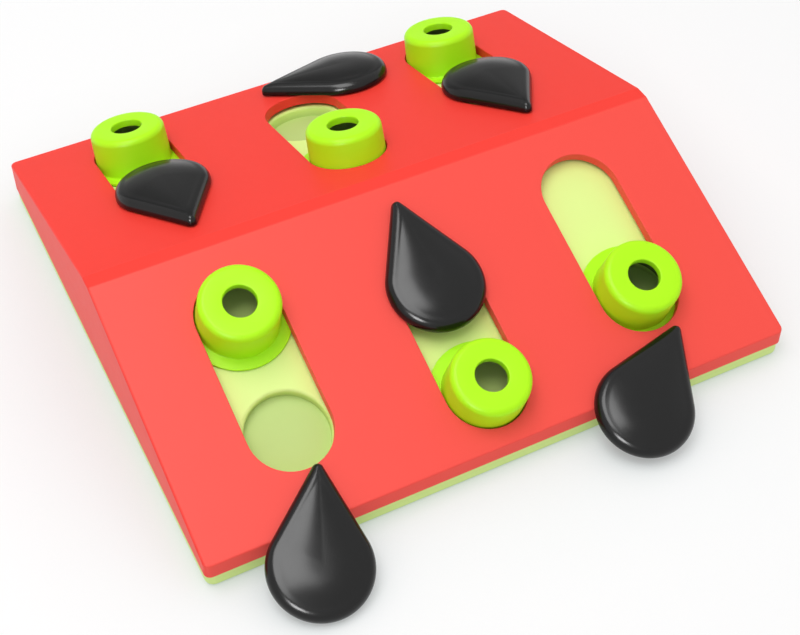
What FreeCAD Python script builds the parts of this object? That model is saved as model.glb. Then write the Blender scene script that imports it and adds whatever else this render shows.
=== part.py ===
# Puzzle feeder for a pet: a low roof-shaped case with six slots. A hollow peg slides in each slot,
# and a drop-shaped seed swivels over the treat bowl at one end of the slot.
# Millimetres, +Z up. The origin is on the floor, in the middle of the whole footprint at rest,
# which reaches past the case in front because two seeds are swung out over the front edge.
import FreeCAD
import Part
import math
import os

# Case
CASE_WIDTH = 270.0
CASE_DEPTH = 249.0
CASE_Y = 18.2            # centre of the case behind the origin
WALL = 2.5
DRAFT = 0.012            # the cover's walls lean in by this share of their height
CORNER_ROUND = 3.0
TOP_EDGE_ROUND = 1.0
INNER_CORNER_ROUND = 1.0

# Roof, with heights above the cover's lower edge and places from the centre of the case
RIDGE_HEIGHT = 51.0
FRONT_WALL_HEIGHT = 7.2
BACK_WALL_HEIGHT = 14.0
RIDGE_FRONT_Y = -6.4
RIDGE_WIDTH = 6.9

# Feet and base
FOOT_PROUD = 0.6
FOOT_RADIUS = 7.0
FOOT_RECESS = 1.2
FOOT_X = 96.0
FOOT_Y = 98.0
FOOT_EDGE_ROUND = 0.3
FOOT_PAD_RADIUS = 9.0
RIM_HEIGHT = 6.5
RIM_INSET = 0.3
RIM_CORNER_ROUND = 4.0
RIM_BOTTOM_ROUND = 1.0
TRAY_FLOOR = 2.0
LIP_HEIGHT = 3.0
LIP_WALL = 1.8
LIP_GAP = 0.25

# Slots, measured down the slope from the ridge edge
COLUMN_X = 82.0
SLOT_RADIUS = 18.25
SLOT_TRAVEL = 53.0
HIGH_SLOT_S = 32.8       # upper arc centre of a slot whose seed turns below it
LOW_SLOT_S = 46.9        # upper arc centre of a slot whose seed turns above it
PIVOT_BEYOND_SLOT = 27.5
SLOT_SKIRT_DEPTH = 4.7
SLOT_SKIRT_WALL = 1.8
SLOT_EDGE_ROUND = 0.4

# Track deck, with depths below the roof's outer surface
DECK_DEPTH = 6.4
DECK_SHEET = 2.0
DECK_HALF_WIDTH = 114.0
DECK_HALF_DEPTH = 117.5
DECK_CORNER_ROUND = 3.0
BOWL_RADIUS = 18.0
BOWL_DEPTH = 5.0
BOWL_WALL = 1.6
BOWL_RIM_ROUND = 1.5

# Pegs
PEG_HEIGHT = 13.4
PEG_TOP_RADIUS = 17.3
PEG_FOOT_RADIUS = 17.7
PEG_TOP_ROUND = 3.0
PEG_TOP_WALL = 1.8
PEG_HOLE_RADIUS = 7.13
PEG_HOLE_ROUND = 0.6
PEG_CAVITY_RADIUS = 15.4
PEG_CAVITY_ROUND = 1.5
FLANGE_RADIUS = 22.75
FLANGE_TOP_DEPTH = 4.9
FLANGE_THICKNESS = 1.2

# Seeds: a large circle and a small one joined by their tangents
BULB_RADIUS = 21.55
TIP_RADIUS = 2.5
SEED_CENTRES = 39.06
PIVOT_TO_BULB = 31.9
SEED_GAP = 0.8
SEED_SIDE = 1.0
SEED_EDGE_ROUND = 4.5
SEED_CROWN = 1.7
SEED_BOTTOM_ROUND = 0.4
CREST_RADIUS = 0.2       # radius that the crest keeps where the sides meet above the tip

# Seed pivots
STEM_RADIUS = 4.0
STEM_CLEARANCE = 0.05
COLLAR_RADIUS = 6.5
COLLAR_GAP = 0.05
WASHER_RADIUS = 7.0
WASHER_THICKNESS = 1.0
WASHER_GAP = 0.15
PIVOT_SCREW_LENGTH = 7.2
PIVOT_SCREW_SINK = 0.5   # depth left free beyond the screw's end

# Screws
SCREW_RADIUS = 1.2
SCREW_HEAD_RADIUS = 2.75
SCREW_HEAD_HEIGHT = 2.0
SCREW_HEAD_ROUND = 0.7
SCREW_GAP = 0.05
HEAD_GAP = 0.35
SCREW_HOLE_RADIUS = 1.6
CASE_SCREW_LENGTH = 9.0
DRIVE_SLOT_WIDTH = 0.8
DRIVE_SLOT_LENGTH = 3.4
DRIVE_SLOT_DEPTH = 1.0
SCREW_POST_RADIUS = 4.2
TRAY_POST_RADIUS = 5.0
TRAY_POST_HEIGHT = 3.0
CASE_SCREW_X = 123.0
CASE_SCREW_YS = (-113.0, 0.0, 113.0)
DECK_SCREW_X = 41.0
DECK_SCREW_YS = (-62.0, 62.0)

# Worked out from the values above
COVER_Z = FOOT_PROUD + RIM_HEIGHT
FLOOR_Z = FOOT_PROUD + TRAY_FLOOR
POST_Z = FLOOR_Z + TRAY_POST_HEIGHT
HEAD_SEAT_Z = FOOT_PROUD + SCREW_HEAD_HEIGHT + 0.5
RIDGE_BACK_Y = RIDGE_FRONT_Y + RIDGE_WIDTH
FRONT_RUN = CASE_DEPTH / 2 - DRAFT * FRONT_WALL_HEIGHT + RIDGE_FRONT_Y
BACK_RUN = CASE_DEPTH / 2 - DRAFT * BACK_WALL_HEIGHT - RIDGE_BACK_Y
FRONT_SLOPE = math.atan2(RIDGE_HEIGHT - FRONT_WALL_HEIGHT, FRONT_RUN)
BACK_SLOPE = math.atan2(RIDGE_HEIGHT - BACK_WALL_HEIGHT, BACK_RUN)
FLANGE_DEPTH = FLANGE_TOP_DEPTH + FLANGE_THICKNESS
SEED_TAPER = math.asin((BULB_RADIUS - TIP_RADIUS) / SEED_CENTRES)
FAR = 200.0              # beyond the case on every side
BLOCK_TOP = COVER_Z + 60  # above the ridge, where blocks are trimmed by the roof
UP = FreeCAD.Vector(0, 0, 1)

# One station for each slot: its name, column, slope side (-1 front, +1 back), whether the seed turns
# above the slot, where the peg's centre rests down the slope, and how far the seed is turned from
# its closed place at rest, counted from +X towards the foot of the slope.
STATIONS = (
    ("front_left", -COLUMN_X, -1, False, HIGH_SLOT_S, 202.2),
    ("front_middle", 0.0, -1, True, LOW_SLOT_S + SLOT_TRAVEL, 0.0),
    ("front_right", COLUMN_X, -1, False, 83.5, 229.0),
    ("back_left", -COLUMN_X, 1, True, LOW_SLOT_S + SLOT_TRAVEL, 0.0),
    ("back_middle", 0.0, 1, False, HIGH_SLOT_S, 78.4),
    ("back_right", COLUMN_X, 1, True, LOW_SLOT_S + SLOT_TRAVEL, 0.0),
)


def vec(x, y, z):
    return FreeCAD.Vector(x, y, z)


def fuse(shapes):
    body = shapes[0]
    for shape in shapes[1:]:
        body = body.fuse(shape)
    return body.removeSplitter()


def cut(body, tools):
    for tool in tools:
        body = body.cut(tool)
    return body


def cylinder(radius, low, high, x=0.0, y=0.0):
    return Part.makeCylinder(radius, high - low, vec(x, y, low), UP)


def rounded_rectangle(half_x, half_y, radius, z):
    """A closed wire of lines and corner arcs, centred on the case."""
    edges = []
    corners = ((1, 1, 0), (-1, 1, 90), (-1, -1, 180), (1, -1, 270))
    for sign_x, sign_y, start in corners:
        centre = vec(sign_x * (half_x - radius), CASE_Y + sign_y * (half_y - radius), z)
        edges.append(Part.makeCircle(radius, centre, UP, start, start + 90))
    wire_edges = []
    for index, arc in enumerate(edges):
        following = edges[(index + 1) % len(edges)]
        start = arc.valueAt(arc.LastParameter)
        wire_edges.append(arc)
        wire_edges.append(Part.makeLine(start, following.valueAt(following.FirstParameter)))
    return Part.Wire(wire_edges)


def block(half_x, half_y, radius, low, high, lean=0.0):
    """An upright block with rounded corners, whose walls lean in by the given share of height."""
    shift = lean * (high - low)
    lower = rounded_rectangle(half_x, half_y, radius, low)
    upper = rounded_rectangle(half_x - shift, half_y - shift, radius, high)
    return Part.makeLoft([lower, upper], True, True)


def under_roof(drop):
    """Everything below the roof's surface moved inwards by the drop."""
    front_y = RIDGE_FRONT_Y + drop * math.tan(FRONT_SLOPE / 2)
    back_y = RIDGE_BACK_Y - drop * math.tan(BACK_SLOPE / 2)
    ridge_z = COVER_Z + RIDGE_HEIGHT - drop
    points = [
        vec(-FAR, CASE_Y - FAR, ridge_z - (FAR + front_y) * math.tan(FRONT_SLOPE)),
        vec(-FAR, CASE_Y + front_y, ridge_z),
        vec(-FAR, CASE_Y + back_y, ridge_z),
        vec(-FAR, CASE_Y + FAR, ridge_z - (FAR - back_y) * math.tan(BACK_SLOPE)),
        vec(-FAR, CASE_Y + FAR, -FAR),
        vec(-FAR, CASE_Y - FAR, -FAR),
    ]
    face = Part.Face(Part.makePolygon(points + points[:1]))
    return face.extrude(vec(2 * FAR, 0, 0))


def on_slope(side, x, s):
    """The placement of a point on a slope: Z stands off the surface, Y runs up or down towards the back."""
    angle = FRONT_SLOPE if side < 0 else -BACK_SLOPE
    ridge_y = RIDGE_FRONT_Y if side < 0 else RIDGE_BACK_Y
    turn = FreeCAD.Rotation(vec(1, 0, 0), math.degrees(angle))
    along = turn.multVec(vec(x, side * s, 0))
    return FreeCAD.Placement(vec(0, CASE_Y + ridge_y, COVER_Z + RIDGE_HEIGHT) + along, turn)


def placed(shape, placement):
    result = shape.copy()
    result.Placement = placement.multiply(result.Placement)
    return result


def capsule(radius, length, low, high, side):
    """A long round-ended block from the upper arc centre, running down the slope."""
    half = radius
    ends = cylinder(radius, low, high).fuse(cylinder(radius, low, high, 0, side * length))
    start_y = min(0, side * length)
    middle = Part.makeBox(2 * half, length, high - low, vec(-half, start_y, low))
    return ends.fuse(middle).removeSplitter()


def slot_start(seed_above):
    return LOW_SLOT_S if seed_above else HIGH_SLOT_S


def pivot_s(seed_above):
    if seed_above:
        return LOW_SLOT_S - PIVOT_BEYOND_SLOT
    return HIGH_SLOT_S + SLOT_TRAVEL + PIVOT_BEYOND_SLOT


def bowl_s(seed_above):
    return LOW_SLOT_S if seed_above else HIGH_SLOT_S + SLOT_TRAVEL


def make_cover_shell():
    """The roof-shaped shell, open below, with its upper outline softly rounded."""
    outer = block(CASE_WIDTH / 2, CASE_DEPTH / 2, CORNER_ROUND, COVER_Z, BLOCK_TOP, DRAFT)
    outer = outer.common(under_roof(0)).removeSplitter()
    outline = []
    for edge in outer.Edges:
        box = edge.BoundBox
        is_ridge = box.YLength < 0.01 and abs(box.ZMin - COVER_Z - RIDGE_HEIGHT) < 0.01
        if box.ZMin > COVER_Z + 3 and not is_ridge:
            outline.append(edge)
    outer = outer.makeFillet(TOP_EDGE_ROUND, outline)
    half_x = CASE_WIDTH / 2 - WALL
    half_y = CASE_DEPTH / 2 - WALL
    hollow = block(half_x, half_y, INNER_CORNER_ROUND, COVER_Z, BLOCK_TOP, DRAFT)
    hollow = hollow.fuse(block(half_x, half_y, INNER_CORNER_ROUND, COVER_Z - 1, COVER_Z))
    return outer.cut(hollow.common(under_roof(WALL)))


def round_slot_edges(cover):
    """Round the slots' edges where they meet the roof's outer surface."""
    edges = []
    for name, x, side, seed_above, peg_s, turned in STATIONS:
        back_to_local = on_slope(side, x, slot_start(seed_above)).inverse()
        for edge in cover.Edges:
            middle = back_to_local.multVec(edge.valueAt((edge.FirstParameter + edge.LastParameter) / 2))
            nearest = max(0.0, min(SLOT_TRAVEL, side * middle.y))
            away = math.hypot(middle.x, side * middle.y - nearest)
            if abs(middle.z) < 0.01 and abs(away - SLOT_RADIUS) < 0.05:
                edges.append(edge)
    return cover.makeFillet(SLOT_EDGE_ROUND, edges)


def make_top_cover():
    cover = make_cover_shell()
    skirts = []
    slots = []
    holes = []
    for name, x, side, seed_above, peg_s, turned in STATIONS:
        at_slot = on_slope(side, x, slot_start(seed_above))
        skirt = capsule(SLOT_RADIUS + SLOT_SKIRT_WALL, SLOT_TRAVEL, -SLOT_SKIRT_DEPTH, -WALL / 2, side)
        slot = capsule(SLOT_RADIUS, SLOT_TRAVEL, -2 * SLOT_SKIRT_DEPTH, 5, side)
        hole = cylinder(STEM_RADIUS + STEM_CLEARANCE, -2 * WALL, WALL)
        skirts.append(placed(skirt, at_slot))
        slots.append(placed(slot, at_slot))
        holes.append(placed(hole, on_slope(side, x, pivot_s(seed_above))))
    posts = []
    bores = []
    for x in (-CASE_SCREW_X, CASE_SCREW_X):
        for y in CASE_SCREW_YS:
            post = cylinder(SCREW_POST_RADIUS, POST_Z, COVER_Z + RIDGE_HEIGHT, x, CASE_Y + y)
            posts.append(post.common(under_roof(WALL / 2)))
            top = HEAD_SEAT_Z + CASE_SCREW_LENGTH + PIVOT_SCREW_SINK
            bores.append(cylinder(SCREW_RADIUS + SCREW_GAP, POST_Z - 1, top, x, CASE_Y + y))
    cover = fuse([cover] + skirts + posts)
    cover = cut(cover, slots + holes + bores)
    return round_slot_edges(cover)


def make_base_tray():
    half_x = CASE_WIDTH / 2
    half_y = CASE_DEPTH / 2
    rim = block(half_x - RIM_INSET, half_y - RIM_INSET, RIM_CORNER_ROUND, FOOT_PROUD, COVER_Z)
    bottom_edges = [edge for edge in rim.Edges if edge.BoundBox.ZMax < FOOT_PROUD + 0.01]
    rim = rim.makeFillet(RIM_BOTTOM_ROUND, bottom_edges)
    lip_inset = WALL + LIP_GAP
    lip_z = COVER_Z + LIP_HEIGHT
    lip = block(half_x - lip_inset, half_y - lip_inset, INNER_CORNER_ROUND, FLOOR_Z, lip_z)
    inner = lip_inset + LIP_WALL
    cavity = block(half_x - inner, half_y - inner, INNER_CORNER_ROUND, FLOOR_Z, lip_z + 1)
    tray = fuse([rim, lip]).cut(cavity)
    pads = []
    recesses = []
    for x in (-FOOT_X, FOOT_X):
        for y in (-FOOT_Y, FOOT_Y):
            pads.append(cylinder(FOOT_PAD_RADIUS, FLOOR_Z - 1, FLOOR_Z + 1, x, CASE_Y + y))
            recesses.append(cylinder(FOOT_RADIUS + SCREW_GAP, 0, FOOT_PROUD + FOOT_RECESS, x, CASE_Y + y))
    posts = []
    bores = []
    for x, y in screw_places():
        posts.append(cylinder(TRAY_POST_RADIUS, FLOOR_Z - 1, POST_Z, x, y))
        bores.append(cylinder(SCREW_HEAD_RADIUS + HEAD_GAP, 0, HEAD_SEAT_Z, x, y))
        bores.append(cylinder(SCREW_HOLE_RADIUS, 0, POST_Z + 1, x, y))
    tray = fuse([tray] + pads + posts)
    return cut(tray, recesses + bores)


def make_track_deck():
    """The roof-shaped floor under the slots, with a round treat bowl at the seed's end of each."""
    top = block(DECK_HALF_WIDTH, DECK_HALF_DEPTH, DECK_CORNER_ROUND, FLOOR_Z, BLOCK_TOP)
    top = top.common(under_roof(DECK_DEPTH))
    half_x = DECK_HALF_WIDTH - DECK_SHEET
    half_y = DECK_HALF_DEPTH - DECK_SHEET
    hollow = block(half_x, half_y, INNER_CORNER_ROUND, FLOOR_Z - 1, BLOCK_TOP)
    deck = top.cut(hollow.common(under_roof(DECK_DEPTH + DECK_SHEET)))
    cups = []
    bowls = []
    for name, x, side, seed_above, peg_s, turned in STATIONS:
        at_bowl = on_slope(side, x, bowl_s(seed_above))
        cup_low = -DECK_DEPTH - BOWL_DEPTH - BOWL_WALL
        cups.append(placed(cylinder(BOWL_RADIUS + BOWL_WALL, cup_low, -DECK_DEPTH - DECK_SHEET / 2), at_bowl))
        bowls.append(placed(cylinder(BOWL_RADIUS, -DECK_DEPTH - BOWL_DEPTH, 0), at_bowl))
    posts = []
    bores = []
    for x in (-DECK_SCREW_X, DECK_SCREW_X):
        for y in DECK_SCREW_YS:
            post = cylinder(SCREW_POST_RADIUS, POST_Z, COVER_Z + RIDGE_HEIGHT, x, CASE_Y + y)
            posts.append(post.common(under_roof(DECK_DEPTH + DECK_SHEET / 2)))
            bore_top = HEAD_SEAT_Z + CASE_SCREW_LENGTH + PIVOT_SCREW_SINK
            bores.append(cylinder(SCREW_RADIUS + SCREW_GAP, POST_Z - 1, bore_top, x, CASE_Y + y))
    deck = fuse([deck] + cups + posts)
    deck = cut(deck, bowls + bores)
    return round_bowl_rims(deck)


def round_bowl_rims(deck):
    edges = []
    for name, x, side, seed_above, peg_s, turned in STATIONS:
        back_to_local = on_slope(side, x, bowl_s(seed_above)).inverse()
        for edge in deck.Edges:
            middle = back_to_local.multVec(edge.valueAt((edge.FirstParameter + edge.LastParameter) / 2))
            away = math.hypot(middle.x, middle.y)
            if abs(middle.z + DECK_DEPTH) < 0.01 and abs(away - BOWL_RADIUS) < 0.05:
                edges.append(edge)
    return deck.makeFillet(BOWL_RIM_ROUND, edges)


def arc(centre, radius, start, end):
    """An arc in the XZ plane, with its angles in degrees from +X towards +Z."""
    points = []
    for angle in (start, (start + end) / 2, end):
        turn = math.radians(angle)
        points.append(vec(centre[0] + radius * math.cos(turn), 0, centre[1] + radius * math.sin(turn)))
    return Part.Arc(*points).toShape()


def profile_face(pieces):
    """A closed face from arcs and the straight lines that join them; a point is an arc of no size."""
    edges = []
    last = None
    first = None
    for piece in pieces:
        is_point = isinstance(piece, tuple)
        start = vec(piece[0], 0, piece[1]) if is_point else piece.valueAt(piece.FirstParameter)
        end = start if is_point else piece.valueAt(piece.LastParameter)
        if last is not None:
            edges.append(Part.makeLine(last, start))
        if not is_point:
            edges.append(piece)
        first = first or start
        last = end
    edges.append(Part.makeLine(last, first))
    return Part.Face(Part.Wire(edges))


def make_peg():
    """A hollow cap with a hole in its top and a thin flange that runs under the cover."""
    top = PEG_HEIGHT
    ceiling = top - PEG_TOP_WALL
    profile = [
        (PEG_CAVITY_RADIUS, -FLANGE_DEPTH),
        (FLANGE_RADIUS, -FLANGE_DEPTH),
        (FLANGE_RADIUS, -FLANGE_TOP_DEPTH),
        (PEG_FOOT_RADIUS, -FLANGE_TOP_DEPTH),
        arc((PEG_TOP_RADIUS - PEG_TOP_ROUND, top - PEG_TOP_ROUND), PEG_TOP_ROUND, 0, 90),
        arc((PEG_HOLE_RADIUS + PEG_HOLE_ROUND, top - PEG_HOLE_ROUND), PEG_HOLE_ROUND, 90, 180),
        (PEG_HOLE_RADIUS, ceiling),
        arc((PEG_CAVITY_RADIUS - PEG_CAVITY_ROUND, ceiling - PEG_CAVITY_ROUND), PEG_CAVITY_ROUND, 90, 0),
    ]
    return profile_face(profile).revolve(vec(0, 0, 0), UP, 360)


def seed_outline(inset, z):
    """The drop's outline moved inwards: two arcs joined by their tangent lines, with the tip along +X."""
    bulb = BULB_RADIUS - inset
    tip = max(TIP_RADIUS - inset, CREST_RADIUS)
    tip_x = -PIVOT_TO_BULB + (bulb - tip) / math.sin(SEED_TAPER)
    lean = 90 - math.degrees(SEED_TAPER)
    bulb_arc = Part.makeCircle(bulb, vec(-PIVOT_TO_BULB, 0, z), UP, lean, 360 - lean)
    tip_arc = Part.makeCircle(tip, vec(tip_x, 0, z), UP, -lean, lean)
    first = Part.makeLine(bulb_arc.valueAt(bulb_arc.LastParameter), tip_arc.valueAt(tip_arc.FirstParameter))
    second = Part.makeLine(tip_arc.valueAt(tip_arc.LastParameter), bulb_arc.valueAt(bulb_arc.FirstParameter))
    return Part.Wire([bulb_arc, first, tip_arc, second])


def make_seed():
    """A crowned drop whose rounded sides meet in a crest towards the tip, on a stem through the cover."""
    side_top = SEED_GAP + SEED_SIDE
    outlines = [seed_outline(SEED_BOTTOM_ROUND, SEED_GAP), seed_outline(0, SEED_GAP + 2 * SEED_BOTTOM_ROUND)]
    for angle in range(0, 76, 15):
        turn = math.radians(angle)
        inset = SEED_EDGE_ROUND * (1 - math.cos(turn))
        outlines.append(seed_outline(inset, side_top + SEED_EDGE_ROUND * math.sin(turn)))
    flat_radius = BULB_RADIUS - SEED_EDGE_ROUND
    for share in (0.95, 0.8, 0.6, 0.4, 0.2, 0.05):
        height = side_top + SEED_EDGE_ROUND + SEED_CROWN * (1 - share * share)
        outlines.append(seed_outline(BULB_RADIUS - share * flat_radius, height))
    drop = Part.makeLoft(outlines, True, True)
    collar = cylinder(COLLAR_RADIUS, COLLAR_GAP, side_top)
    stem_low = -WALL - WASHER_GAP
    stem = cylinder(STEM_RADIUS, stem_low, side_top)
    drop = fuse([drop, collar.common(seed_prism()), stem])
    bore_top = stem_low - WASHER_THICKNESS + PIVOT_SCREW_LENGTH + PIVOT_SCREW_SINK
    return drop.cut(cylinder(SCREW_RADIUS + SCREW_GAP, stem_low, bore_top))


def seed_prism():
    """A straight-sided drop just inside the seed's outline, which trims the collar under it."""
    outline = seed_outline(SEED_BOTTOM_ROUND, -SEED_GAP)
    return Part.Face(outline).extrude(vec(0, 0, 4 * SEED_GAP))


def make_washer():
    top = -WALL - WASHER_GAP
    ring = cylinder(WASHER_RADIUS, top - WASHER_THICKNESS, top)
    return ring.cut(cylinder(SCREW_HOLE_RADIUS, top - 2 * WASHER_THICKNESS, top + 1))


def make_screw(length):
    """A pan-head screw that points up, with the underside of its head at height zero."""
    head = cylinder(SCREW_HEAD_RADIUS, -SCREW_HEAD_HEIGHT, 0)
    lower_edges = [edge for edge in head.Edges if edge.BoundBox.ZMax < -SCREW_HEAD_HEIGHT + 0.01]
    head = head.makeFillet(SCREW_HEAD_ROUND, lower_edges)
    shank = cylinder(SCREW_RADIUS, 0, length)
    screw = fuse([head, shank])
    half = DRIVE_SLOT_LENGTH / 2
    low = -SCREW_HEAD_HEIGHT - 1
    depth = DRIVE_SLOT_DEPTH + 1
    first = Part.makeBox(2 * half, DRIVE_SLOT_WIDTH, depth, vec(-half, -DRIVE_SLOT_WIDTH / 2, low))
    second = Part.makeBox(DRIVE_SLOT_WIDTH, 2 * half, depth, vec(-DRIVE_SLOT_WIDTH / 2, -half, low))
    return cut(screw, [first, second])


def make_foot():
    foot = cylinder(FOOT_RADIUS, 0, FOOT_PROUD + FOOT_RECESS)
    lower_edges = [edge for edge in foot.Edges if edge.BoundBox.ZMax < 0.01]
    return foot.makeFillet(FOOT_EDGE_ROUND, lower_edges)


def case_screw_places():
    return [(x, CASE_Y + y) for x in (-CASE_SCREW_X, CASE_SCREW_X) for y in CASE_SCREW_YS]


def deck_screw_places():
    return [(x, CASE_Y + y) for x in (-DECK_SCREW_X, DECK_SCREW_X) for y in DECK_SCREW_YS]


def screw_places():
    return case_screw_places() + deck_screw_places()


def screw_group(places):
    screw = make_screw(CASE_SCREW_LENGTH)
    upright = FreeCAD.Rotation()
    seats = [FreeCAD.Placement(vec(x, y, HEAD_SEAT_Z), upright) for x, y in places]
    return Part.makeCompound([placed(screw, seat) for seat in seats])


def seed_placement(side, x, seed_above, turned):
    """Where a seed lies at rest, turned from its closed place about its pivot."""
    closed = 270.0 if seed_above else 90.0
    turn = FreeCAD.Placement(vec(0, 0, 0), FreeCAD.Rotation(UP, side * (closed + turned)))
    return on_slope(side, x, pivot_s(seed_above)).multiply(turn)


def save(name, shape):
    solids = shape.Solids
    print(name, "solids", len(solids), "valid", shape.isValid(), "volume", round(shape.Volume))
    shape.exportStep(os.path.join("parts", name + ".step"))


def main():
    os.makedirs("parts", exist_ok=True)
    save("top_cover", make_top_cover())
    save("base_tray", make_base_tray())
    save("track_deck", make_track_deck())
    save("case_screws", screw_group(case_screw_places()))
    save("deck_screws", screw_group(deck_screw_places()))
    foot = make_foot()
    for foot_side, y in (("front", -FOOT_Y), ("back", FOOT_Y)):
        for foot_end, x in (("left", -FOOT_X), ("right", FOOT_X)):
            place = FreeCAD.Placement(vec(x, CASE_Y + y, 0), FreeCAD.Rotation())
            save("foot_" + foot_side + "_" + foot_end, placed(foot, place))
    peg = make_peg()
    seed = make_seed()
    washer = make_washer()
    screw = make_screw(PIVOT_SCREW_LENGTH)
    washer_low = -WALL - WASHER_GAP - WASHER_THICKNESS
    under_washer = FreeCAD.Placement(vec(0, 0, washer_low), FreeCAD.Rotation())
    for name, x, side, seed_above, peg_s, turned in STATIONS:
        at_pivot = seed_placement(side, x, seed_above, turned)
        save("peg_" + name, placed(peg, on_slope(side, x, peg_s)))
        save("seed_" + name, placed(seed, at_pivot))
        save("seed_washer_" + name, placed(washer, at_pivot))
        save("seed_screw_" + name, placed(screw, at_pivot.multiply(under_washer)))


main()
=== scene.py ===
# %% [markdown]
# Puzzle feeder for a pet, dressed for a picture.
# The feeder is a low roof-shaped case. Each of its six slots has a lime peg that slides and a black
# seed that swivels over a treat bowl. Every piece arrives at its real size and place from the frame.
# This lesson gives each piece its finish, and models the pegs and seeds again with finer curves.
# We start by loading the frame.

# %% Load the frame
import math
from collections import namedtuple

import bmesh
import bpy
from mathutils import Matrix, Vector


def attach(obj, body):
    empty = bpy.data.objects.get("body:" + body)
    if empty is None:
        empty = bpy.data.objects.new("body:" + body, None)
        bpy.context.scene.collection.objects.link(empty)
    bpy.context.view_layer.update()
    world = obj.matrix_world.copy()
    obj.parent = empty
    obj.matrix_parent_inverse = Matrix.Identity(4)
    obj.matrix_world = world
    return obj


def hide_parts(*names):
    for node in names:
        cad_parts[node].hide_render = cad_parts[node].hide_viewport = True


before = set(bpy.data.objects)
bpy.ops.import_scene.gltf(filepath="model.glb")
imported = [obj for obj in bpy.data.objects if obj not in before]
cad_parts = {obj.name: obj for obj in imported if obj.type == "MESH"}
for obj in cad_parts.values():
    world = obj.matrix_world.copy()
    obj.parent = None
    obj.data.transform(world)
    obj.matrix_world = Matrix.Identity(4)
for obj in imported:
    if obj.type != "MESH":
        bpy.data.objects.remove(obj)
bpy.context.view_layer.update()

# %% [markdown]
# Sizes.
# Blender works in metres here, and a moulder's drawing is in millimetres, so sizes are written in
# millimetres and turned into metres where a mesh is made. The few values below place every slot:
# the case is centred a little behind the origin, because two seeds stand out over its front edge.

# %% Sizes in millimetres
MM = 0.001
CASE_WIDTH = 270.0
CASE_DEPTH = 249.0
CASE_Y = 18.2
COVER_Z = 7.1
DRAFT = 0.012
RIDGE_HEIGHT = 51.0
RIDGE_FRONT_Y = -6.4
RIDGE_WIDTH = 6.9
FRONT_WALL_HEIGHT = 7.2
BACK_WALL_HEIGHT = 14.0
COLUMN_X = 82.0
SLOT_TRAVEL = 53.0
HIGH_SLOT_S = 32.8
LOW_SLOT_S = 46.9
PIVOT_BEYOND_SLOT = 27.5

RIDGE_BACK_Y = RIDGE_FRONT_Y + RIDGE_WIDTH
FRONT_RUN = CASE_DEPTH / 2 - DRAFT * FRONT_WALL_HEIGHT + RIDGE_FRONT_Y
BACK_RUN = CASE_DEPTH / 2 - DRAFT * BACK_WALL_HEIGHT - RIDGE_BACK_Y
FRONT_SLOPE = math.atan2(RIDGE_HEIGHT - FRONT_WALL_HEIGHT, FRONT_RUN)
BACK_SLOPE = math.atan2(RIDGE_HEIGHT - BACK_WALL_HEIGHT, BACK_RUN)

# Each station: its column, its slope (-1 front, +1 back), whether its seed turns above the slot, how
# far down the slope its peg rests, and how far its seed is turned from closed, in degrees.
Station = namedtuple("Station", "x side seed_above peg_s turned")
STATIONS = {
    "front_left": Station(-COLUMN_X, -1, False, HIGH_SLOT_S, 202.2),
    "front_middle": Station(0.0, -1, True, LOW_SLOT_S + SLOT_TRAVEL, 0.0),
    "front_right": Station(COLUMN_X, -1, False, 83.5, 229.0),
    "back_left": Station(-COLUMN_X, 1, True, LOW_SLOT_S + SLOT_TRAVEL, 0.0),
    "back_middle": Station(0.0, 1, False, HIGH_SLOT_S, 78.4),
    "back_right": Station(COLUMN_X, 1, True, LOW_SLOT_S + SLOT_TRAVEL, 0.0),
}


def on_slope(side, x, s):
    """The place of a point on a slope. Its Z stands off the surface, and its Y runs backwards."""
    angle = FRONT_SLOPE if side < 0 else -BACK_SLOPE
    ridge_y = RIDGE_FRONT_Y if side < 0 else RIDGE_BACK_Y
    turn = Matrix.Rotation(angle, 4, "X")
    ridge = Matrix.Translation((0, CASE_Y + ridge_y, COVER_Z + RIDGE_HEIGHT))
    return ridge @ turn @ Matrix.Translation((x, side * s, 0))


def pivot_s(seed_above):
    """How far down the slope a seed's pivot lies, above its slot or below it."""
    if seed_above:
        return LOW_SLOT_S - PIVOT_BEYOND_SLOT
    return HIGH_SLOT_S + SLOT_TRAVEL + PIVOT_BEYOND_SLOT


print("front slope", round(math.degrees(FRONT_SLOPE), 2), "degrees")
print("back slope", round(math.degrees(BACK_SLOPE), 2), "degrees")

# %% [markdown]
# The camera.
# A product picture is taken with a long lens from above one corner. A camera can be placed by eye
# until the outline agrees, or worked out from points whose real places are known. The second way is
# used: the place, the two directions and the lens below came from such a fit.

# %% Camera
IMAGE_WIDTH = 800
FOCAL_PIXELS = 1509.45
SENSOR_WIDTH = 36.0
CAMERA_PLACE = (-207.72, -420.91, 504.40)
CAMERA_FORWARD = Vector((0.298417, 0.600494, -0.741859))
CAMERA_RIGHT = Vector((0.893946, -0.448163, -0.003168))


def make_camera():
    """The camera of the picture, with the lens that gives its focal length in pixels."""
    data = bpy.data.cameras.new("picture_camera")
    data.sensor_width = SENSOR_WIDTH
    data.lens = FOCAL_PIXELS / IMAGE_WIDTH * SENSOR_WIDTH
    camera = bpy.data.objects.new("picture_camera", data)
    bpy.context.scene.collection.objects.link(camera)
    forward = CAMERA_FORWARD.normalized()
    up = CAMERA_RIGHT.cross(forward).normalized()
    right = forward.cross(up)
    turn = Matrix((right, up, -forward)).transposed().to_4x4()
    camera.matrix_world = Matrix.Translation(Vector(CAMERA_PLACE) * MM) @ turn
    bpy.context.scene.camera = camera
    return camera


camera = make_camera()
print("camera lens", round(camera.data.lens, 2), "mm")

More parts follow.
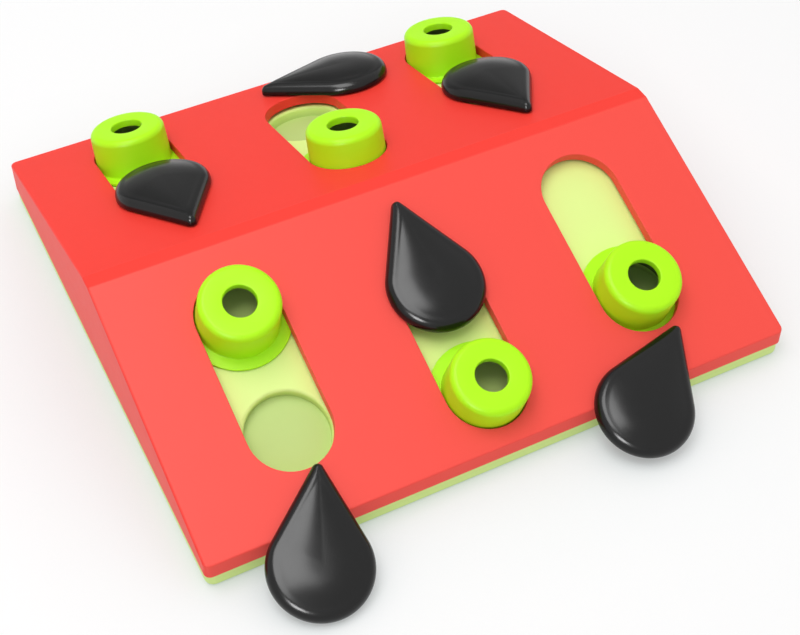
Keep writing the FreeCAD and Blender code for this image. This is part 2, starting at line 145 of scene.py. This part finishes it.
# %% [markdown]
# Writing shader maths as Python.
# A finish is a small network of nodes. Wiring each one by hand hides the idea, so one class wraps a
# socket and lets plain operators add the Math nodes. A second class holds a network. Its node method
# makes any node: the type, then its settings, then the values or links of its sockets. A third class
# holds one material, and adds the parts that most finishes share.

# %% Shader helpers
WHITE = (1.0, 1.0, 1.0, 1.0)
BLACK = (0.0, 0.0, 0.0, 1.0)

# The Mix node has sockets for every kind of value. These are the numbers of its colour sockets.
BLEND_COLOURS = (6, 7)
BLEND_RESULT = 2


class Value:
    """A socket that carries one value. Operators on it add Math nodes."""

    def __init__(self, network, socket):
        self.network = network
        self.socket = socket

    def __add__(self, other):
        return self.network.maths("ADD", self, other)

    def __radd__(self, other):
        return self.network.maths("ADD", other, self)

    def __sub__(self, other):
        return self.network.maths("SUBTRACT", self, other)

    def __rsub__(self, other):
        return self.network.maths("SUBTRACT", other, self)

    def __mul__(self, other):
        return self.network.maths("MULTIPLY", self, other)

    def __rmul__(self, other):
        return self.network.maths("MULTIPLY", other, self)


class Made:
    """A node just made, whose outputs are read by name."""

    def __init__(self, network, node):
        self.network = network
        self.node = node

    def __getitem__(self, name):
        return Value(self.network, self.node.outputs[name])


class Network:
    """A node tree, and short ways to add nodes to it."""

    def __init__(self, tree):
        self.tree = tree

    def node(self, kind, settings, sockets):
        made = self.tree.nodes.new(kind)
        for name, value in settings.items():
            setattr(made, name, value)
        for name, value in sockets.items():
            self.feed(made.inputs[name], value)
        return Made(self, made)

    def feed(self, socket, value):
        if isinstance(value, Value):
            self.tree.links.new(value.socket, socket)
        else:
            socket.default_value = value

    def maths(self, operation, *inputs):
        sockets = dict(enumerate(inputs))
        return self.node("ShaderNodeMath", {"operation": operation}, sockets)["Value"]

    def ramp(self, value, start, end, ease="LINEAR"):
        """A share that is 0 where the value is below start, and 1 where it is above end."""
        limits = {"Value": value, "From Min": start, "From Max": end}
        return self.node("ShaderNodeMapRange", {"interpolation_type": ease}, limits)["Result"]

    def blend(self, share, first, second):
        """A colour between two others."""
        mix = self.node("ShaderNodeMix", {"data_type": "RGBA"}, {"Factor": share})
        for index, value in zip(BLEND_COLOURS, (first, second)):
            self.feed(mix.node.inputs[index], value)
        return Value(self, mix.node.outputs[BLEND_RESULT])


class Finish(Network):
    """One material: a Principled shader and the nodes that vary it over the surface."""

    def __init__(self, name, **uniform):
        self.material = bpy.data.materials.new(name)
        self.material.use_nodes = True
        super().__init__(self.material.node_tree)
        self.shader = self.tree.nodes["Principled BSDF"]
        self.place = self.node("ShaderNodeTexCoord", {}, {})["Object"]
        self.drive(**uniform)

    def along(self, axis):
        """One coordinate of the surface point, in metres."""
        return self.node("ShaderNodeSeparateXYZ", {}, {"Vector": self.place})[axis]

    def noise(self, scale, detail=2.0):
        sockets = {"Vector": self.place, "Scale": scale, "Detail": detail}
        return self.node("ShaderNodeTexNoise", {"noise_dimensions": "3D"}, sockets)["Fac"]

    def bump(self, height, distance):
        sockets = {"Height": height, "Distance": distance}
        return self.node("ShaderNodeBump", {}, sockets)["Normal"]

    def drive(self, **sockets):
        """Set or link the shader's own sockets, and hand over the material."""
        for name, value in sockets.items():
            self.feed(self.shader.inputs[name.replace("_", " ")], value)
        return self.material


print("shader helpers ready")

# %% [markdown]
# The stage.
# The feeder lies on a seamless white table under one large soft box. The world is white where the
# camera sees it and where shiny pieces reflect it, and a soft grey dome, brightest overhead, where it
# only lights matt surfaces. Two lamps that act as cards, and a grey flag, show in reflections alone:
# the cards draw the bright sides and rims of the seeds, and the flag keeps the back slope's red deep.

# %% World, lamps and sheets
ZENITH_LIGHT = 0.76
HORIZON_LIGHT = 0.42
FLOOR_SIZE = 6.0
FLAG_SIZE = 4.0
FLAG_PLACE = (0.8, 2.3, -0.2)

# Each lamp: its place, the point it faces and its two sides, all in metres, then its power in watts,
# and whether it lights matt surfaces too.
Lamp = namedtuple("Lamp", "place aim sides power lights_all")
LAMPS = {
    "overhead_box": Lamp((-0.36, 0.0, 1.5), (-0.36, 0.0, 0.0), (0.9, 1.2), 11.3, True),
    "sheen_card": Lamp((-0.36, 0.0, 1.45), (-0.36, 0.0, 0.0), (0.9, 1.2), 14.0, False),
    "rim_card": Lamp((-0.9, -1.0, 0.86), (0.0, 0.0, 0.0), (0.5, 0.5), 20.0, False),
}


def make_world():
    """A dome of light for matt surfaces, and plain white for the camera and reflections."""
    world = bpy.data.worlds.new("studio")
    bpy.context.scene.world = world
    world.use_nodes = True
    world.node_tree.nodes.clear()
    studio = Network(world.node_tree)
    ray = studio.node("ShaderNodeLightPath", {}, {})
    shiny = studio.maths("MAXIMUM", ray["Is Glossy Ray"], ray["Is Transmission Ray"])
    white_share = studio.maths("MAXIMUM", ray["Is Camera Ray"], shiny)
    direction = studio.node("ShaderNodeTexCoord", {}, {})["Generated"]
    height = studio.node("ShaderNodeSeparateXYZ", {}, {"Vector": direction})["Z"]
    limits = {"Value": height, "To Min": HORIZON_LIGHT, "To Max": ZENITH_LIGHT}
    strength = studio.node("ShaderNodeMapRange", {}, limits)["Result"]
    dome = studio.node("ShaderNodeBackground", {}, {"Color": WHITE, "Strength": strength})
    white = studio.node("ShaderNodeBackground", {}, {"Color": WHITE, "Strength": 1.0})
    shaders = {"Fac": white_share, 1: dome["Background"], 2: white["Background"]}
    choice = studio.node("ShaderNodeMixShader", {}, shaders)
    studio.node("ShaderNodeOutputWorld", {}, {"Surface": choice["Shader"]})


def make_lamp(name, lamp):
    """A rectangular lamp that faces its aim."""
    data = bpy.data.lights.new(name, "AREA")
    data.shape = "RECTANGLE"
    data.size, data.size_y = lamp.sides
    data.energy = lamp.power
    light = bpy.data.objects.new(name, data)
    bpy.context.scene.collection.objects.link(light)
    direction = Vector(lamp.aim) - Vector(lamp.place)
    turn = direction.to_track_quat("-Z", "Y").to_matrix().to_4x4()
    light.matrix_world = Matrix.Translation(lamp.place) @ turn
    light.visible_diffuse = lamp.lights_all


def make_sheet(name, size):
    """A square sheet that belongs to the stage, flat on the floor."""
    mesh = bpy.data.meshes.new(name)
    shape = bmesh.new()
    bmesh.ops.create_grid(shape, x_segments=1, y_segments=1, size=size / 2)
    shape.to_mesh(mesh)
    shape.free()
    sheet = bpy.data.objects.new(name, mesh)
    bpy.context.scene.collection.objects.link(sheet)
    return sheet


def make_flag():
    """A sheet upright behind the feeder, which only reflections show."""
    flag = make_sheet("grey_flag", FLAG_SIZE)
    flag.matrix_world = Matrix.Translation(FLAG_PLACE) @ Matrix.Rotation(math.pi / 2, 4, "X")
    flag.visible_camera = False
    flag.visible_diffuse = False
    flag.visible_transmission = False
    flag.visible_shadow = False
    return flag


make_world()
for name, lamp in LAMPS.items():
    make_lamp(name, lamp)
floor = make_sheet("floor", FLOOR_SIZE)
flag = make_flag()
bpy.context.scene.view_settings.view_transform = "Standard"
print("floor", FLOOR_SIZE, "m wide, world light", HORIZON_LIGHT, "to", ZENITH_LIGHT)

# %% [markdown]
# Moulded plastic.
# A feeder like this is injection moulded in coloured plastic. The mould is lightly eroded, which
# leaves a very fine grain on the plastic: a small bump. A slow noise lets the colour drift between
# two near ones, and the gloss varies a little too. Shade is painted into two finishes: the cover is
# painted a deeper red where it lies in half shade, behind the ridge and on the side walls, and the
# bowls are painted darker with their depth.

# %% Plastic finishes
DRIFT_SCALE = 14.0
MOTTLE_SCALE = 220.0
GRAIN_SCALE = 2600.0
GRAIN_DETAIL = 1.0
NOISE_MIDDLE = 0.5
DRIFT_GLOSS = 0.03
MOTTLE_GLOSS = 0.06
FINE_GRAIN = 0.00001
HOLLOW_GRAIN = 0.00003
RUBBER_GRAIN = 0.00004

# In millimetres: where the painted shade of deeper red starts, just before the ridge and just inside
# the side walls, over what distance it comes in, and how deep below the roof the bowls' painted shade
# of dark green starts and ends.
PAINTED_SHADE_Y = CASE_Y + RIDGE_FRONT_Y - 0.5
PAINTED_SHADE_Y_BLEND = 1.0
PAINTED_SHADE_X = CASE_WIDTH / 2 - 1.3
PAINTED_SHADE_X_BLEND = 0.8
DECK_TOP_DEPTH = 7.0
BOWL_FLOOR_DEPTH = 13.0

SATIN = {"Specular_IOR_Level": 0.14}
SHINY = {"Specular_IOR_Level": 0.31}


def grained(finish, shade, roughness, grain=FINE_GRAIN):
    """Give a finish its colour, a gloss that is a little mottled, and its grain."""
    gloss = roughness + MOTTLE_GLOSS * (finish.noise(MOTTLE_SCALE) - NOISE_MIDDLE)
    bumps = finish.bump(finish.noise(GRAIN_SCALE, GRAIN_DETAIL), grain)
    return finish.drive(Base_Color=shade, Roughness=gloss, Normal=bumps)


def moulded_plastic(name, colour, drift_colour, roughness, grain=FINE_GRAIN, **uniform):
    """Plastic whose colour drifts slowly between two near colours."""
    finish = Finish(name, **uniform)
    drift = finish.noise(DRIFT_SCALE)
    shade = finish.blend(drift, colour, drift_colour)
    return grained(finish, shade, roughness + DRIFT_GLOSS * (drift - NOISE_MIDDLE), grain)


def red_with_painted_shade(name, colour, painted_shade_red, roughness, **uniform):
    """Plastic with painted shade: a deeper red behind the ridge and on the two side walls."""
    finish = Finish(name, **uniform)
    back_end = PAINTED_SHADE_Y + PAINTED_SHADE_Y_BLEND
    back = finish.ramp(finish.along("Y"), PAINTED_SHADE_Y * MM, back_end * MM)
    sideways = finish.maths("ABSOLUTE", finish.along("X"))
    wall = finish.ramp(sideways, PAINTED_SHADE_X * MM, (PAINTED_SHADE_X + PAINTED_SHADE_X_BLEND) * MM)
    # The deeper red is painted shade for the back slope and the side walls.
    shade = finish.blend(finish.maths("MAXIMUM", back, wall), colour, painted_shade_red)
    return grained(finish, shade, roughness)


def shaded_bowls(name, colour, painted_bowl_shade, roughness, **uniform):
    """Plastic of a sloped floor with painted shade that darkens it with its depth below both slopes of
    the roof.
    """
    finish = Finish(name, **uniform)
    y = finish.along("Y")
    down = (COVER_Z + RIDGE_HEIGHT) * MM - finish.along("Z")
    front_y = (CASE_Y + RIDGE_FRONT_Y) * MM
    back_y = (CASE_Y + RIDGE_BACK_Y) * MM
    front_depth = (down + (y - front_y) * math.tan(FRONT_SLOPE)) * math.cos(FRONT_SLOPE)
    back_depth = (down - (y - back_y) * math.tan(BACK_SLOPE)) * math.cos(BACK_SLOPE)
    depth = finish.maths("MINIMUM", front_depth, back_depth)
    # The bowls' dark green is painted shade, deepest on their floors.
    share = finish.ramp(depth, DECK_TOP_DEPTH * MM, BOWL_FLOOR_DEPTH * MM)
    return grained(finish, finish.blend(share, colour, painted_bowl_shade), roughness)


# The cover's second red is painted shade.
COVER_RED = red_with_painted_shade(
    "cover_red", colour=(0.96, 0.087, 0.068, 1), painted_shade_red=(0.94, 0.052, 0.037, 1),
    roughness=0.42, **SATIN,
)
BASE_GREEN = moulded_plastic(
    "base_green", colour=(0.72, 0.90, 0.31, 1), drift_colour=(0.69, 0.88, 0.295, 1),
    roughness=0.42, **SATIN,
)
DECK_GREEN = shaded_bowls(
    "deck_green", colour=(0.79, 0.98, 0.32, 1), painted_bowl_shade=(0.46, 0.63, 0.22, 1),
    roughness=0.45, **SATIN,
)
PEG_LIME = moulded_plastic(
    "peg_lime", colour=(0.49, 1.0, 0.014, 1), drift_colour=(0.47, 0.98, 0.012, 1),
    roughness=0.36, **SATIN,
)
# A dark olive with a duller gloss, which is painted shade for the dim inside of a peg's hollow.
PEG_HOLLOW_SHADE = moulded_plastic(
    "peg_hollow_shade", colour=(0.19, 0.26, 0.09, 1), drift_colour=(0.15, 0.21, 0.07, 1),
    roughness=0.6, grain=HOLLOW_GRAIN, **SATIN,
)
SEED_BLACK = moulded_plastic(
    "seed_black", colour=(0.003, 0.003, 0.003, 1), drift_colour=(0.005, 0.005, 0.005, 1),
    roughness=0.22, **SHINY,
)
FLAG_GREY = moulded_plastic(
    "flag_grey", colour=(0.62, 0.62, 0.62, 1), drift_colour=(0.60, 0.60, 0.60, 1),
    roughness=0.9, **SATIN,
)
RUBBER = moulded_plastic(
    "rubber", colour=(0.035, 0.035, 0.037, 1), drift_colour=(0.05, 0.05, 0.052, 1),
    roughness=0.8, grain=RUBBER_GRAIN,
)
flag.data.materials.append(FLAG_GREY)
print("plastics made")

# %% [markdown]
# Zinc and paper.
# The small screws and washers are zinc plated steel, which shows fine spangles. The floor is paper
# that is half lit and half glowing near the feeder, and it glows white towards the horizon, so that it
# has no far edge. The glow fades in the corners round the feeder, a painted shade that keeps its
# shadow. There the paper is painted darker and less red, a counter-tint that takes back some of the
# red light that the cover throws on it.

# %% Steel and floor finishes
FLECK_SCALE = 900.0
SPANGLE_DETAIL = 3.0
DARK_ZINC = (0.62, 0.63, 0.65, 1)
LIGHT_ZINC = (0.74, 0.75, 0.76, 1)
ZINC_ROUGHNESS = 0.28
ZINC_ROUGHNESS_RISE = 0.12

PAPER_ROUGHNESS = 0.9
FLOOR_COLOUR = (0.50, 0.50, 0.50, 1.0)
FLOOR_DRIFT = (0.49, 0.49, 0.49, 1.0)
CORNER_COUNTER_TINT = (0.36, 0.455, 0.455, 1.0)
OPEN_GLOW = (0.475, 0.475, 0.475, 1.0)
CORNER_SHADE_GLOW = (0.26, 0.26, 0.26, 1.0)
OPEN_REACH = 0.07
OPEN_SAMPLES = 8
NEAR_FLOOR = 0.42
FAR_FLOOR = 1.1


def zinc_plate():
    """Bright metal whose gloss and shade vary from spangle to spangle."""
    finish = Finish("zinc_plate", Metallic=1.0)
    spangle = finish.noise(FLECK_SCALE, SPANGLE_DETAIL)
    shade = finish.blend(spangle, DARK_ZINC, LIGHT_ZINC)
    gloss = ZINC_ROUGHNESS + ZINC_ROUGHNESS_RISE * spangle
    return finish.drive(Base_Color=shade, Roughness=gloss)


def glowing_paper():
    """Paper that glows, with painted shade where the glow fades in corners, and most far away."""
    uniform = {"Roughness": PAPER_ROUGHNESS, "Emission_Strength": 1.0, "Specular_IOR_Level": 0.0}
    finish = Finish("floor_paper", **uniform)
    reach = {"Distance": OPEN_REACH}
    openness = finish.node("ShaderNodeAmbientOcclusion", {"samples": OPEN_SAMPLES}, reach)["AO"]
    length = {"operation": "LENGTH"}
    distance = finish.node("ShaderNodeVectorMath", length, {0: finish.place})["Value"]
    far = finish.ramp(distance, NEAR_FLOOR, FAR_FLOOR, "SMOOTHSTEP")
    fibres = finish.blend(finish.noise(FLECK_SCALE), FLOOR_COLOUR, FLOOR_DRIFT)
    # In the corners the paper is painted darker and less red, against the cover's red light.
    paper = finish.blend(far, finish.blend(openness, CORNER_COUNTER_TINT, fibres), BLACK)
    # The glow dims in the corners: painted shade.
    glow = finish.blend(far, finish.blend(openness, CORNER_SHADE_GLOW, OPEN_GLOW), WHITE)
    return finish.drive(Base_Color=paper, Emission_Color=glow)


STEEL = zinc_plate()
FLOOR_PAPER = glowing_paper()
floor.data.materials.append(FLOOR_PAPER)
print("steel and paper made")

# %% [markdown]
# Finishes on the pieces that keep their shape.
# The cover, base, deck, feet, washers and screws come from the frame with their true rounded edges,
# so they only need a finish. It goes into the material slots that each one already has. The longer
# names stand first in the list below, because the first start that fits a name decides.

# %% Finish the frame's own pieces
FINISH_OF_START = {
    "top_cover": COVER_RED,
    "base_tray": BASE_GREEN,
    "track_deck": DECK_GREEN,
    "foot_": RUBBER,
    "peg_": PEG_LIME,
    "seed_washer_": STEEL,
    "seed_screw_": STEEL,
    "seed_": SEED_BLACK,
}


def finish_of(name):
    """The finish of a node of the frame. What no start fits is a screw."""
    for start, material in FINISH_OF_START.items():
        if name.startswith(start):
            return material
    return STEEL


for name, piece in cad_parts.items():
    for slot in piece.material_slots:
        slot.material = finish_of(name)
print("finished", len(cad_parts), "pieces")

# %% [markdown]
# Building with bmesh.
# The pieces below start as a few vertices in a bmesh and grow by operators. One helper turns such a
# bmesh into a piece: it puts it in place, makes its faces point outwards, smooths the shading except
# at sharp edges, gives it its finishes and lets it ride on its body.

# %% Bmesh helper
SHARP = math.radians(35)
WELD_DISTANCE = 0.001


def finish_piece(shape, name, place, node, materials, is_shaded_hollow=None):
    """Turn a closed bmesh in millimetres into a finished piece that stands for a frame node.

    The node's body has the same name as the node. A face is given the second material where is_shaded_hollow
    says so of its middle.
    """
    bmesh.ops.remove_doubles(shape, verts=shape.verts[:], dist=WELD_DISTANCE)
    bmesh.ops.recalc_face_normals(shape, faces=shape.faces[:])
    for face in shape.faces:
        face.smooth = True
        face.material_index = 1 if is_shaded_hollow and is_shaded_hollow(face.calc_center_median()) else 0
    bmesh.ops.transform(shape, matrix=Matrix.Scale(MM, 4) @ place, verts=shape.verts[:])
    for edge in shape.edges:
        edge.smooth = edge.calc_face_angle(0.0) < SHARP
    mesh = bpy.data.meshes.new(name)
    shape.to_mesh(mesh)
    shape.free()
    for material in materials:
        mesh.materials.append(material)
    piece = bpy.data.objects.new(name, mesh)
    bpy.context.scene.collection.objects.link(piece)
    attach(piece, node)
    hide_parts(node)
    return piece


# %% [markdown]
# The pegs.
# A peg is a hollow cap with a finger hole in its top and a thin flange that keeps it under the cover.
# It is round all over, so its half section is drawn once as a closed line of edges and spun a full
# turn. The spin merges its last step with its first, which leaves no seam. A short collar goes down
# round the hole, and the hollow behind it is painted a dark olive with a duller gloss: painted shade
# for the dim inside of the cap.

# %% Pegs
PEG_HEIGHT = 13.4
PEG_TOP_RADIUS = 17.3
PEG_FOOT_RADIUS = 17.7
PEG_TOP_ROUND = 3.0
PEG_TOP_WALL = 1.8
PEG_HOLE_RADIUS = 7.13
PEG_HOLE_ROUND = 0.6
HOLE_COLLAR_RADIUS = 8.4
HOLE_COLLAR_DROP = 1.5
PEG_CAVITY_RADIUS = 15.4
PEG_CAVITY_ROUND = 1.5
FLANGE_RADIUS = 22.75
FLANGE_TOP_DEPTH = 4.9
FLANGE_THICKNESS = 1.2
FLANGE_EDGE_ROUND = 0.25
PEG_FOOT_ROUND = 0.5
PEG_STEPS = 144
FLANGE_EDGE_STEPS = 3
PEG_FOOT_STEPS = 5
PEG_TOP_STEPS = 14
PEG_HOLE_STEPS = 6
PEG_CAVITY_STEPS = 6
HOLE_WALL_MARGIN = 0.05
HOLLOW_MARGIN = 0.01


def arc_points(centre, radius, start, end, steps):
    """Points on an arc in the XZ plane, with its angles in degrees from +X towards +Z."""
    points = []
    for index in range(steps + 1):
        turn = math.radians(start + (end - start) * index / steps)
        x = centre[0] + radius * math.cos(turn)
        z = centre[1] + radius * math.sin(turn)
        points.append((x, z))
    return points


def peg_section():
    """The peg's half section as (radius, height) points, counted from inside the foot."""
    low = -FLANGE_TOP_DEPTH - FLANGE_THICKNESS
    rim = FLANGE_RADIUS - FLANGE_EDGE_ROUND
    ceiling = PEG_HEIGHT - PEG_TOP_WALL
    collar = ceiling - HOLE_COLLAR_DROP
    rim_low = (rim, low + FLANGE_EDGE_ROUND)
    rim_high = (rim, -FLANGE_TOP_DEPTH - FLANGE_EDGE_ROUND)
    foot = (PEG_FOOT_RADIUS + PEG_FOOT_ROUND, -FLANGE_TOP_DEPTH + PEG_FOOT_ROUND)
    shoulder = (PEG_TOP_RADIUS - PEG_TOP_ROUND, PEG_HEIGHT - PEG_TOP_ROUND)
    hole = (PEG_HOLE_RADIUS + PEG_HOLE_ROUND, PEG_HEIGHT - PEG_HOLE_ROUND)
    corner = (PEG_CAVITY_RADIUS - PEG_CAVITY_ROUND, ceiling - PEG_CAVITY_ROUND)
    points = [(PEG_CAVITY_RADIUS, low)]
    points += arc_points(rim_low, FLANGE_EDGE_ROUND, -90, 0, FLANGE_EDGE_STEPS)
    points += arc_points(rim_high, FLANGE_EDGE_ROUND, 0, 90, FLANGE_EDGE_STEPS)
    points += arc_points(foot, PEG_FOOT_ROUND, 270, 180, PEG_FOOT_STEPS)
    points += arc_points(shoulder, PEG_TOP_ROUND, 0, 90, PEG_TOP_STEPS)
    points += arc_points(hole, PEG_HOLE_ROUND, 90, 180, PEG_HOLE_STEPS)
    points += [(PEG_HOLE_RADIUS, collar), (HOLE_COLLAR_RADIUS, collar)]
    points += [(HOLE_COLLAR_RADIUS, ceiling)]
    points += arc_points(corner, PEG_CAVITY_ROUND, 90, 0, PEG_CAVITY_STEPS)
    return points


def spun(section):
    """A closed ring of revolution about Z from a closed half section."""
    shape = bmesh.new()
    corners = [shape.verts.new((radius, 0, height)) for radius, height in section]
    edges = [shape.edges.new((corners[i - 1], corners[i])) for i in range(len(corners))]
    bmesh.ops.spin(
        shape, geom=corners + edges, cent=(0, 0, 0), axis=(0, 0, 1), dvec=(0, 0, 0),
        angle=math.tau, steps=PEG_STEPS, use_merge=True, use_duplicate=False,
    )
    return shape


def in_cavity(point):
    """Whether a face lies in the peg's hollow, and not on the hole's own wall."""
    reach = math.hypot(point.x, point.y)
    between = PEG_HOLE_RADIUS + HOLE_WALL_MARGIN < reach < PEG_CAVITY_RADIUS + HOLLOW_MARGIN
    return between and point.z < PEG_HEIGHT - PEG_TOP_WALL + HOLLOW_MARGIN


for name, station in STATIONS.items():
    place = on_slope(station.side, station.x, station.peg_s)
    # The second finish paints shade into the peg's hollow.
    finishes = (PEG_LIME, PEG_HOLLOW_SHADE)
    shape = spun(peg_section())
    peg = finish_piece(
        shape, "lime_peg_" + name, place, "peg_" + name, finishes, in_cavity
    )
print("pegs made,", len(peg.data.polygons), "faces each")

# %% [markdown]
# The seeds.
# A seed is a drop: a large circle and a small one joined by their tangent lines. Its side stands up a
# little, rounds over, and then rises slowly to a crown. The height grows with the distance from the
# outline, and grows less and less towards the middle line, so the two flanks meet in a rounded crest.
# Subdividing a cage would soften every edge alike, so instead one ring of vertices is extruded again
# and again, and each new ring is laid on the same outline moved further inwards. A last few rings
# make the stem under the seed, with the bore for its screw.

# %% Seeds
BULB_RADIUS = 21.55
TIP_RADIUS = 2.5
SEED_CENTRES = 39.06
PIVOT_TO_BULB = 31.9
SEED_GAP = 0.8
SEED_SIDE = 1.0
SEED_EDGE_ROUND = 4.5
SEED_CROWN = 2.7
SEED_BOTTOM_ROUND = 0.4
STEM_RADIUS = 4.0
STEM_LOW = -2.65
SCREW_BORE = 1.25
SCREW_BORE_TOP = 4.05
SEED_TAPER = math.asin((BULB_RADIUS - TIP_RADIUS) / SEED_CENTRES)
CLOSED_ABOVE_SLOT = 270
CLOSED_BELOW_SLOT = 90

BULB_STEPS = 96
FLANK_STEPS = 24
TIP_STEPS = 12
OUTLINE_STEPS = BULB_STEPS + 2 * FLANK_STEPS + TIP_STEPS
BOTTOM_RINGS = 3
EDGE_RINGS = 15
CROWN_RINGS = 18
EDGE_TURN = math.radians(78)


def along_outline(index):
    """Where a counted vertex lies on the drop: (its share from tip to bulb, its direction)."""
    half = OUTLINE_STEPS / 2
    step = index if index <= half else OUTLINE_STEPS - index
    lean = math.pi / 2 - SEED_TAPER
    tip_end = TIP_STEPS / 2
    flank_end = tip_end + FLANK_STEPS
    if step <= tip_end:
        share, angle = 0.0, lean * step / tip_end
    elif step <= flank_end:
        share, angle = (step - tip_end) / FLANK_STEPS, lean
    else:
        share, angle = 1.0, lean + (math.pi - lean) * (step - flank_end) / (half - flank_end)
    return share, angle if index <= half else -angle


def half_width(index):
    """How far a vertex of the outline lies from the drop's middle line."""
    share = along_outline(index)[0]
    return TIP_RADIUS + share * (BULB_RADIUS - TIP_RADIUS)


def drop_point(index, inset):
    """The place of an outline vertex, moved inwards towards the drop's middle line."""
    share, angle = along_outline(index)
    middle_x = -PIVOT_TO_BULB + SEED_CENTRES * (1 - share)
    reach = half_width(index) - inset
    return middle_x + reach * math.cos(angle), reach * math.sin(angle)


def stem_point(index, radius):
    """A point on a circle about the pivot, in the direction of the same vertex of the outline."""
    x, y = drop_point(index, SEED_BOTTOM_ROUND)
    angle = math.atan2(y, x)
    return radius * math.cos(angle), radius * math.sin(angle)


def lower_edge():
    """(inset, height) of the rings that round the seed's lower edge."""
    rings = []
    for step in range(1, BOTTOM_RINGS + 1):
        turn = math.pi / 2 * step / BOTTOM_RINGS
        drop = SEED_BOTTOM_ROUND * (1 - math.cos(turn))
        rings.append((SEED_BOTTOM_ROUND * (1 - math.sin(turn)), SEED_GAP + drop))
    return rings


def side_inset(ring, width):
    """How far in a ring lies: first round the edge, then evenly to the middle line."""
    edge = min(SEED_EDGE_ROUND, width)
    if ring <= EDGE_RINGS:
        return edge * (1 - math.cos(EDGE_TURN * ring / EDGE_RINGS))
    start = edge * (1 - math.cos(EDGE_TURN))
    return start + (width - start) * (ring - EDGE_RINGS) / CROWN_RINGS


def plain_height(inset):
    """The side's height at a distance from the outline: a round edge, then a slow crown."""
    turned_in = max(0.0, SEED_EDGE_ROUND - inset)
    edge = math.sqrt(SEED_EDGE_ROUND**2 - turned_in**2)
    share = max(0.0, inset - SEED_EDGE_ROUND) / (BULB_RADIUS - SEED_EDGE_ROUND)
    return edge + SEED_CROWN * (1 - (1 - share) ** 2)


def ring_height(ring, index):
    """The height of a vertex. The rise fades out towards the middle line: the crest is round."""
    width = half_width(index)
    height = SEED_GAP + SEED_SIDE
    for step in range(1, ring + 1):
        low = side_inset(step - 1, width)
        high = side_inset(step, width)
        fade = 1 - ((low + high) / 2 / width) ** 2
        height += (plain_height(high) - plain_height(low)) * fade
    return height


def crown_point(ring, index):
    """Where a vertex of a ring on the seed's upper side lies."""
    inset = side_inset(ring, half_width(index))
    return (*drop_point(index, inset), ring_height(ring, index))


def extrude_ring(shape, edges, place):
    """Extrude a ring of edges and lay each new vertex where place says, by its number."""
    grown = bmesh.ops.extrude_edge_only(shape, edges=edges)["geom"]
    number = shape.verts.layers.int["number"]
    for item in grown:
        if isinstance(item, bmesh.types.BMVert):
            item.co = place(item[number])
    return [item for item in grown if isinstance(item, bmesh.types.BMEdge)]


def make_seed():
    """A seed grown from one ring: upwards to its crest, and downwards to its stem and bore."""
    shape = bmesh.new()
    number = shape.verts.layers.int.new("number")
    bmesh.ops.create_circle(shape, cap_ends=False, segments=OUTLINE_STEPS, radius=1.0)
    shape.verts.ensure_lookup_table()
    for index, vert in enumerate(shape.verts):
        vert[number] = index
        vert.co = (*drop_point(index, SEED_BOTTOM_ROUND), SEED_GAP)
    base_edges = shape.edges[:]
    edges = base_edges
    for inset, height in lower_edge():
        edges = extrude_ring(shape, edges, lambda index: (*drop_point(index, inset), height))
    for ring in range(EDGE_RINGS + CROWN_RINGS + 1):
        edges = extrude_ring(shape, edges, lambda index: crown_point(ring, index))
    edges = base_edges
    for radius, height in (
        (STEM_RADIUS, SEED_GAP),
        (STEM_RADIUS, STEM_LOW),
        (SCREW_BORE, STEM_LOW),
        (SCREW_BORE, SCREW_BORE_TOP),
    ):
        edges = extrude_ring(shape, edges, lambda index: (*stem_point(index, radius), height))
    extrude_ring(shape, edges, lambda index: (0, 0, SCREW_BORE_TOP))
    return shape


for name, station in STATIONS.items():
    closed = CLOSED_ABOVE_SLOT if station.seed_above else CLOSED_BELOW_SLOT
    swing = Matrix.Rotation(station.side * math.radians(closed + station.turned), 4, "Z")
    place = on_slope(station.side, station.x, pivot_s(station.seed_above)) @ swing
    seed = finish_piece(
        make_seed(), "black_seed_" + name, place, "seed_" + name, (SEED_BLACK,)
    )
print("seeds made,", len(seed.data.polygons), "faces each")
